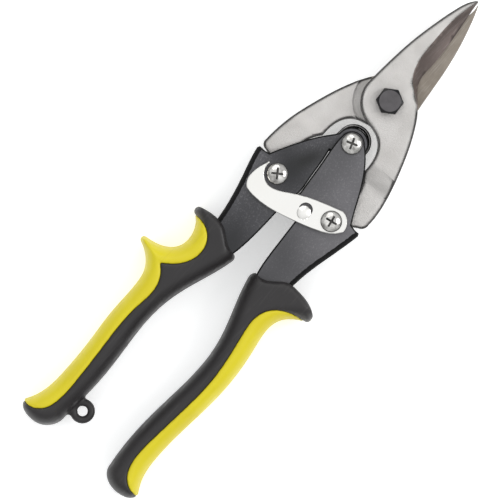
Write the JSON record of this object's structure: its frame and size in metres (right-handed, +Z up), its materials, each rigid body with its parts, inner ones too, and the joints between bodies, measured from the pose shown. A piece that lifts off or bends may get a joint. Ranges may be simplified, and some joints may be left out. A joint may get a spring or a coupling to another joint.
{
  "type": "aviation snips",
  "caption": "Compound-action sheet-metal snips with two forged blades, channel handles in moulded grips, a thumb latch and a return spring.",
  "frame": {"origin": "centre of the closed tool's footprint, on the surface it lies on, back down", "axes": "+X along the tool towards the jaw tips, +Y across to the left handle, +Z up, out of the face with the latch"},
  "size_m": [0.2498, 0.075, 0.0205],
  "materials": {
    "front_blade": "satin",
    "rear_blade": "satin",
    "pivot_bolt": "satin",
    "pivot_washer": "satin",
    "pivot_nut": "satin",
    "right_handle": "gloss",
    "left_handle": "gloss",
    "right_grip": "matte",
    "right_grip_inlay": "matte",
    "left_grip": "matte",
    "left_grip_inlay": "matte",
    "handle_pivot_screw": "gloss",
    "handle_pivot_nut": "satin",
    "left_blade_screw": "gloss",
    "left_blade_nut": "satin",
    "right_blade_screw": "gloss",
    "right_blade_nut": "satin",
    "latch": "gloss",
    "latch_washer": "satin",
    "return_spring": "satin",
    "spring_sleeve": "satin"
  },
  "bodies": {
    "front_blade": {"front_blade": "front_blade", "pivot_bolt": "pivot_bolt", "pivot_washer": "pivot_washer", "pivot_nut": "pivot_nut"},
    "rear_blade": {"rear_blade": "rear_blade"},
    "right_handle": {"right_handle": "right_handle", "right_grip": "right_grip", "right_grip_inlay": "right_grip_inlay", "handle_pivot_screw": "handle_pivot_screw", "handle_pivot_nut": "handle_pivot_nut", "right_blade_screw": "right_blade_screw", "right_blade_nut": "right_blade_nut", "latch_washer": "latch_washer", "return_spring": "return_spring", "spring_sleeve": "spring_sleeve"},
    "left_handle": {"left_handle": "left_handle", "left_grip": "left_grip", "left_grip_inlay": "left_grip_inlay", "left_blade_screw": "left_blade_screw", "left_blade_nut": "left_blade_nut"},
    "latch": {"latch": "latch"}
  },
  "joints": [
    {"name": "jaw_opening", "type": "hinge", "parent": "front_blade", "child": "rear_blade", "pos_m": [0.06988, -0.0019, 0.01], "axis": [0, 0, -1], "range_deg": [0, 15]},
    {"name": "right_handle_swing", "type": "hinge", "parent": "front_blade", "child": "right_handle", "pos_m": [0.01738, -0.0166, 0.01], "axis": [0, 0, 1], "range_deg": [0, 6.46], "deforming": ["return_spring"]},
    {"name": "left_handle_swing", "type": "hinge", "parent": "rear_blade", "child": "left_handle", "pos_m": [0.01738, 0.0128, 0.01], "axis": [0, 0, -1], "range_deg": [0, 6.46]},
    {"name": "latch_release", "type": "hinge", "parent": "right_handle", "child": "latch", "pos_m": [0.01738, -0.0166, 0.01], "axis": [0, 0, 1], "range_deg": [0, 48]}
  ],
  "couplings": [
    {"joint": "right_handle_swing", "follows": "jaw_opening", "ratio": 0.431},
    {"joint": "left_handle_swing", "follows": "jaw_opening", "ratio": 0.431},
    {"joint": "latch_release", "follows": "jaw_opening", "ratio": 3.2}
  ]
}
